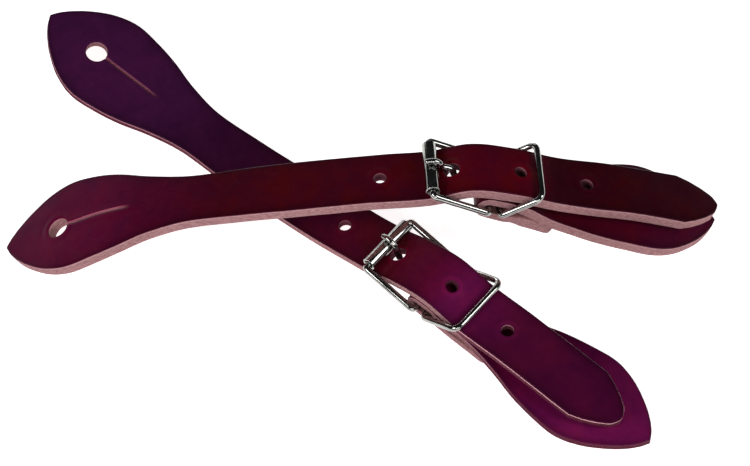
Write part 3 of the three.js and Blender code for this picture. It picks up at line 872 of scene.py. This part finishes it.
def make_screws(layout, material):
    """The post and screw that close the fold, head outwards on each side."""
    kind = layout.kind
    name = kind["name"]
    post_head = layout.tab_top - CLEARANCE - SCREW_HEAD_HEIGHT
    screw_head = layout.tab_top - 2 * kind["leather"] + SCREW_HEAD_HEIGHT
    post_length = post_head - screw_head - CLEARANCE
    floor = SCREW_HEAD_HEIGHT - DRIVER_SLOT_DEPTH
    driver_slot = box_mesh((-2 * SCREW_HEAD_RADIUS, -DRIVER_SLOT_HALF, floor),
                           (2 * SCREW_HEAD_RADIUS, DRIVER_SLOT_HALF, 2 * SCREW_HEAD_HEIGHT))
    post = outward(lathe_mesh(head_profile(post_length, POST_RADIUS), TURNED_SIDES))
    screw = lathe_mesh(head_profile(SCREW_SHANK, POST_RADIUS - SCREW_THINNER), TURNED_SIDES)
    screw = carved(screw, driver_slot)
    turn = layout.droop - layout.path.slope(layout.screw_at)
    pieces = [("screw_post", post, post_head, 0), ("screw", screw, screw_head, 180)]
    for label, mesh, height, flip in pieces:
        x, z = layout.behind(layout.screw_at, height)
        matrix = layout.buckle_matrix @ shift(x, 0, z) @ spin("Y", radians=turn) @ spin("X", flip)
        placed(f"{name}_{label}_turned", mesh, moved(points_of(mesh), matrix), f"{name}_straps",
               f"{name}_{label}", material, SCREW_SHARP_ANGLE)


def make_metal(layout, material):
    """One set's buckle frame, roller, tongue, keeper and screws, each where the joints hold it."""
    kind = layout.kind
    base = layout.buckle_matrix
    front = layout.front
    pivot = layout.behind(layout.heel_at + layout.fold_open, -layout.heel_depth)
    pivot *= KEEPER_BEHIND_HEEL / np.linalg.norm(pivot)
    over_strap = CLEARANCE + KEEPER_WIRE + kind["keeper_lift"]
    lean = (layout.path.slope(layout.heel_at + KEEPER_LENGTH / 2)
            + math.asin((layout.heel_depth + over_strap) / KEEPER_LENGTH))
    frame_matrix = base @ spin("Y", radians=-math.atan2(front[1], front[0]))
    keeper_matrix = base @ shift(pivot[0], 0, pivot[1]) @ spin("Y", radians=-lean)
    frame_mesh = wire_loop(FRAME_LENGTH, BAR_CORNER, FRAME_WIRE)
    keeper_mesh = wire_loop(KEEPER_LENGTH, KEEPER_CORNER, KEEPER_WIRE)
    roller_matrix = base @ shift(front[0], 0, front[1])
    pieces = [
        ("buckle", "buckle_frame", "wire", frame_mesh, frame_matrix, SHARP_ANGLE),
        ("roller", "roller", "tube", make_roller(), roller_matrix, ROLLER_SHARP_ANGLE),
        ("tongue", "tongue", "hook", make_tongue(layout), base, SHARP_ANGLE),
        ("keeper", "keeper", "loop", keeper_mesh, keeper_matrix, SHARP_ANGLE),
    ]
    for body, part, ending, mesh, matrix, sharp in pieces:
        node = f"{kind['name']}_{part}"
        placed(f"{node}_{ending}", mesh, moved(points_of(mesh), matrix), f"{kind['name']}_{body}", node,
               material, sharp)
    make_screws(layout, material)


# ---- Materials ----
class Shader:
    """A material's node tree, built node by node."""

    def __init__(self, name):
        self.material = bpy.data.materials.new(name)
        self.material.use_nodes = True
        self.tree = self.material.node_tree
        self.tree.nodes.clear()

    def add(self, kind, inputs=None, **settings):
        """Adds a node; inputs are by name or place, and each is a value or another node's output."""
        node = self.tree.nodes.new("ShaderNode" + kind)
        for key, value in settings.items():
            setattr(node, key, value)
        for key, value in (inputs or {}).items():
            if isinstance(value, bpy.types.NodeSocket):
                self.tree.links.new(value, node.inputs[key])
            else:
                node.inputs[key].default_value = value
        return node

    def attribute(self, name, output="Fac"):
        """What finished_leather stored at each point under this name."""
        return self.add("Attribute", attribute_name=name).outputs[output]

    def stretched(self, vector, scale):
        return self.add("Mapping", {"Vector": vector, "Scale": scale}).outputs[0]

    def noise(self, vector, scale, detail=3.0, distortion=0.0, roughness=0.55):
        return self.add("TexNoise", {"Vector": vector, "Scale": scale, "Detail": detail,
                                     "Roughness": roughness, "Distortion": distortion}).outputs["Fac"]

    def ramp(self, value, low, high, to_low=0.0, to_high=1.0, smooth=True):
        """Maps value from low..high to to_low..to_high, held at the ends."""
        node = self.add("MapRange", {"Value": value, "From Min": low, "From Max": high,
                                     "To Min": to_low, "To Max": to_high})
        node.interpolation_type = "SMOOTHSTEP" if smooth else "LINEAR"
        return node.outputs[0]

    def math(self, operation, first, second=0.0):
        return self.add("Math", {0: first, 1: second}, operation=operation).outputs[0]

    def product(self, first, *others):
        for other in others:
            first = self.math("MULTIPLY", first, other)
        return first

    def blend(self, first, first_share, second, second_share):
        """The sum of two heights, each times its share."""
        return self.math("ADD", self.product(first, first_share), self.product(second, second_share))

    def mix(self, share, first, second):
        """One colour over another, by share."""
        return self.add("Mix", {0: share, 6: first, 7: second}, data_type="RGBA").outputs[2]

    def bump(self, height, distance, strength):
        return self.add("Bump", {"Height": height, "Distance": distance, "Strength": strength}).outputs[0]

    def surface(self, **inputs):
        shader = self.add("BsdfPrincipled", {key.replace("_", " "): value for key, value in inputs.items()})
        output = self.add("OutputMaterial")
        self.tree.links.new(shader.outputs[0], output.inputs[0])
        return self.material


RAW_EDGE_PALE = (*srgb(184, 144, 144), 1)
RAW_EDGE_DARK = (*srgb(132, 86, 90), 1)
EDGE_DYE = (*srgb(80, 16, 42), 1)
EDGE_LINE = (*srgb(226, 168, 176), 1)
SLIT_TINT = (*srgb(188, 104, 124), 1)
FLESH_PALE = (*srgb(168, 122, 118), 1)
FLESH_DARK = (*srgb(112, 66, 70), 1)
BURNISHED = (0.006, 0.0015, 0.003, 1)
BURNISH_SHARE = 0.68
CUT_ROUGHNESS = 0.86
LEATHER_IOR = 1.46
LEATHER_SHEEN = (0.95, 0.25, 0.6, 1)
LEATHER_BUMP = 0.09 * MM
NICKEL_DARK = (0.3, 0.3, 0.285, 1)
NICKEL_BRIGHT = (0.42, 0.42, 0.4, 1)
NICKEL_WORN = (0.2, 0.18, 0.15, 1)
NICKEL_BUMP = 0.02 * MM


def grain_colour(shade, flat):
    """The grain side, dyed and, in its violet and magenta stretches, painted with sheen: mottled, burnished
    dark at its rim, and pale along the slit's lips.
    """
    mottle = shade.noise(flat, 0.09, 4, 0.6)
    blotch = shade.noise(flat, 0.45, 3)
    # The stored grain colour is dye, with painted sheen in its violet and magenta stretches.
    tint = shade.add("HueSaturation", {
        "Color": shade.attribute("dye_and_sheen", "Color"),
        "Hue": shade.ramp(mottle, 0.3, 0.7, 0.486, 0.512, False),
        "Value": shade.product(shade.ramp(mottle, 0.3, 0.7, 0.8, 1.2, False),
                               shade.ramp(blotch, 0.3, 0.7, 0.93, 1.07, False)),
    }).outputs[0]
    grain = shade.mix(shade.product(shade.attribute("rim"), BURNISH_SHARE), tint, BURNISHED)
    along, off, strength = shade.add("SeparateXYZ", {0: shade.attribute("slit", "Vector")}).outputs
    beside = shade.ramp(shade.math("ABSOLUTE", off), 0.35, 0.7, 1, 0)
    lips = shade.product(beside, shade.ramp(along, 0.8, 1.02, 1, 0), shade.ramp(along, 0.0, 0.02), strength)
    return shade.mix(lips, grain, SLIT_TINT)


def cut_colour(shade, flat, depth, fibres):
    """A cut wall: raw fibres in layers, dye that soaked in, and a pale line just under the grain."""
    layers = shade.noise(shade.stretched(flat, (0.08, 0.1, 2.2)), 1.2, 2, 0.2)
    raw = shade.mix(shade.ramp(fibres, 0.32, 0.68), RAW_EDGE_DARK, RAW_EDGE_PALE)
    raw = shade.mix(shade.ramp(layers, 0.55, 0.75, 0, 0.35), raw, RAW_EDGE_DARK)
    soaked = shade.product(shade.attribute("edge_dye"), shade.ramp(fibres, 0.25, 0.6, 1, 0.93))
    wall = shade.mix(soaked, raw, EDGE_DYE)
    line = shade.product(shade.ramp(depth, 0.42, 0.5), shade.ramp(depth, 0.8, 1.0, 1, 0),
                         shade.attribute("line_share"))
    return shade.mix(line, wall, EDGE_LINE)


def leather_material(name):
    """Dyed latigo: smooth grain side, fibrous cut edges and a napped flesh side."""
    shade = Shader(name)
    flat = shade.attribute("flat", "Vector")
    depth = shade.attribute("depth")
    is_wall = shade.ramp(depth, 0.3, 0.46)
    is_flesh = shade.ramp(shade.attribute("level"), 0.0, 0.07, 1, 0)
    fibres = shade.noise(shade.stretched(flat, (0.5, 1.6, 3.2)), 1.5, 5, 0.5, 0.65)
    nap = shade.noise(shade.stretched(flat, (1.0, 1.3, 1.0)), 2.4, 6, 0.8, 0.7)
    flesh = shade.mix(shade.ramp(nap, 0.3, 0.7), FLESH_DARK, FLESH_PALE)
    outside = shade.mix(is_wall, grain_colour(shade, flat), cut_colour(shade, flat, depth, fibres))
    colour = shade.mix(is_flesh, outside, flesh)

    pores = shade.add("TexVoronoi", {"Vector": flat, "Scale": 1.7, "Randomness": 1.0},
                      feature="SMOOTH_F1").outputs["Distance"]
    creases = shade.noise(flat, 0.7, 4, 1.2, 0.6)
    smooth_share = shade.math("SUBTRACT", 1.0, is_wall)
    grain_height = shade.blend(pores, 0.35, creases, 0.8)
    rough_height = shade.blend(fibres, 2.6, nap, 2.0)
    bumped = shade.bump(shade.blend(grain_height, smooth_share, rough_height, is_wall), LEATHER_BUMP, 0.7)

    gloss = shade.ramp(shade.noise(flat, 0.3, 4, 0.5), 0.3, 0.7, 0.3, 0.44, False)
    scratches = shade.noise(shade.stretched(flat, (0.15, 1.4, 1)), 0.8, 5, 1.5)
    grain_rough = shade.math("ADD", gloss, shade.ramp(scratches, 0.62, 0.75, 0, 0.14))
    roughness = shade.add("Mix", {0: is_wall, 2: grain_rough, 3: CUT_ROUGHNESS}).outputs[0]
    return shade.surface(Base_Color=colour, Roughness=roughness, Normal=bumped, IOR=LEATHER_IOR,
                         Specular_IOR_Level=0.14, Specular_Tint=LEATHER_SHEEN)


def nickel_material():
    """Bright nickel plate with faint polishing lines, haze and a few dull spots."""
    shade = Shader("nickel")
    place = shade.add("TexCoord").outputs["Object"]
    haze = shade.noise(place, 260, 4, 0.4)
    lines = shade.noise(shade.stretched(place, (900, 5200, 5200)), 1, 3, 0.2)
    worn = shade.ramp(shade.noise(place, 900, 3), 0.66, 0.78)
    colour = shade.mix(shade.ramp(haze, 0.35, 0.65), NICKEL_DARK, NICKEL_BRIGHT)
    colour = shade.mix(shade.product(worn, 0.5), colour, NICKEL_WORN)
    polish = shade.ramp(haze, 0.3, 0.7, 0.09, 0.17, False)
    roughness = shade.math("ADD", polish, shade.product(worn, 0.25))
    bumped = shade.bump(shade.blend(lines, 0.4, haze, 0.6), NICKEL_BUMP, 0.5)
    return shade.surface(Base_Color=colour, Metallic=1.0, Roughness=roughness, Normal=bumped)


# ---- Build the pair ----
# Grain colours. VIOLET, PLUM, MULBERRY, MAGENTA, FUCHSIA, PURPLE and DARK_PURPLE, at the leaves and past
# the lower keeper, are partly dye and partly painted sheen.
VIOLET = srgb(50, 14, 46)
PLUM = srgb(71, 3, 37)
WINE = srgb(56, 3, 15)
OXBLOOD = srgb(66, 3, 15)
DARK_WINE = srgb(41, 2, 10)
MAGENTA = srgb(82, 12, 54)
FUCHSIA = srgb(92, 15, 62)
MULBERRY = srgb(58, 6, 30)
DAMSON = srgb(42, 7, 30)
BURGUNDY = srgb(56, 5, 27)
CLARET = srgb(62, 4, 18)
RASPBERRY = srgb(72, 6, 32)
PURPLE = srgb(62, 8, 36)
DARK_PURPLE = srgb(56, 6, 36)

# Each list is (distance along, colour or share), from a long strap's leaf or a short strap's flap,
# and its first and last entries hold past their distances.
# edge_dye, hole_dye and button_dye are how deeply the cut walls are dyed, line_share is the pale line
# along a cut edge, and slit is how pale the slit's lips are.
# The grain colour lists are dye, with painted sheen in their violet, plum, purple and magenta stretches.
LOOKS = {
    "upper_long": {
        "dye_and_sheen": [(35, PLUM), (75, WINE), (135, WINE), (150, OXBLOOD), (172, OXBLOOD), (182, DARK_WINE)],
        "edge_dye": [(0, 0.1), (30, 0.02)],
        "hole_dye": 0.8,
        "button_dye": 0,
        "line_share": [(0, 0.3), (STRAP_LENGTH, 0.2)],
        "slit": 0.85,
    },
    "upper_short": {
        "dye_and_sheen": [(60, WINE), (100, MULBERRY)],
        "edge_dye": [(70, 0), (110, 0.12), (140, 0.3)],
        "button_dye": 0.5,
        "line_share": [(0, 0.2)],
        "slit": 0.5,
    },
    "lower_long": {
        "dye_and_sheen": [(55, VIOLET), (90, DAMSON), (120, BURGUNDY), (145, CLARET), (160, RASPBERRY),
                (172, MAGENTA), (195, PURPLE), (STRAP_LENGTH, DARK_PURPLE)],
        "edge_dye": [(45, 1), (90, 0.7), (120, 0.15), (173, 0.06), (181, 0.9),
                     (STRAP_LENGTH, 0.95)],
        "hole_dye": 0.92,
        "button_dye": 0.45,
        "line_share": [(0, 0.5), (100, 0.45), (130, 0.1), (172, 0.1), (180, 1)],
        "slit": 0.45,
    },
    "lower_short": {
        "dye_and_sheen": [(60, PLUM), (95, FUCHSIA)],
        "edge_dye": [(0, 0.2), (45, 0.35), (60, 0.9), (75, 1)],
        "button_dye": 0.8,
        "line_share": [(60, 0.3), (75, 0.05)],
        "slit": 0.2,
    },
}

NICKEL = nickel_material()
for layout in LAYOUTS:
    set_name = layout.kind["name"]
    leather_look = leather_material(f"latigo_{set_name}")
    make_long_strap(layout, leather_look, LOOKS[f"{set_name}_long"])
    make_short_strap(layout, leather_look, LOOKS[f"{set_name}_short"])
    make_metal(layout, NICKEL)

# ---- Floor and light ----
FLOOR_GLOW = 0.85
WORLD_COLOUR = (0.02, 0.02, 0.022, 1)
FLOOR_HALF = 6
FLOOR_GAP = 0.0002
SOFTBOXES = [
    # place in metres, width, height, power in watts
    ((-0.85, -0.6, 0.95), 0.7, 0.4, 7.5),
    ((0.95, -0.3, 0.9), 0.4, 0.7, 5.5),
    ((0.1, -1.2, 0.75), 0.9, 0.2, 5),
    ((-0.35, 1.05, 0.3), 0.9, 0.08, 1.2),
]


def floor_material():
    """Pale paper that glows a little, so that it stays near white under the soft lights."""
    shade = Shader("paper")
    place = shade.add("TexCoord").outputs["Object"]
    fleck = shade.ramp(shade.noise(place, 60, 3), 0.3, 0.7, 0.985, 1.0, False)
    paper = shade.add("CombineColor", {0: fleck, 1: fleck, 2: fleck}).outputs[0]
    return shade.surface(Base_Color=paper, Roughness=0.9, Specular_IOR_Level=0.1,
                         Emission_Color=(1, 1, 1, 1), Emission_Strength=FLOOR_GLOW)


def add_floor():
    corners = [(x * FLOOR_HALF, y * FLOOR_HALF, 0) for x, y in ((-1, -1), (1, -1), (1, 1), (-1, 1))]
    mesh = mesh_from(corners, [(0, 1, 2, 3)], "floor")
    mesh.materials.append(floor_material())
    floor = made_object(mesh)
    floor.location.z = -FLOOR_GAP


def add_lights():
    for place, width, height, power in SOFTBOXES:
        lamp = bpy.data.lights.new("softbox", "AREA")
        lamp.shape = "RECTANGLE"
        lamp.size, lamp.size_y = width, height
        lamp.energy = power
        softbox = made_object(lamp)
        softbox.location = place
        softbox.rotation_euler = (-Vector(place)).to_track_quat("-Z", "Y").to_euler()
    world = bpy.data.worlds.new("studio")
    world.use_nodes = True
    world.node_tree.nodes["Background"].inputs["Color"].default_value = WORLD_COLOUR
    bpy.context.scene.world = world


add_floor()
add_lights()
bpy.context.scene.view_settings.view_transform = "Standard"
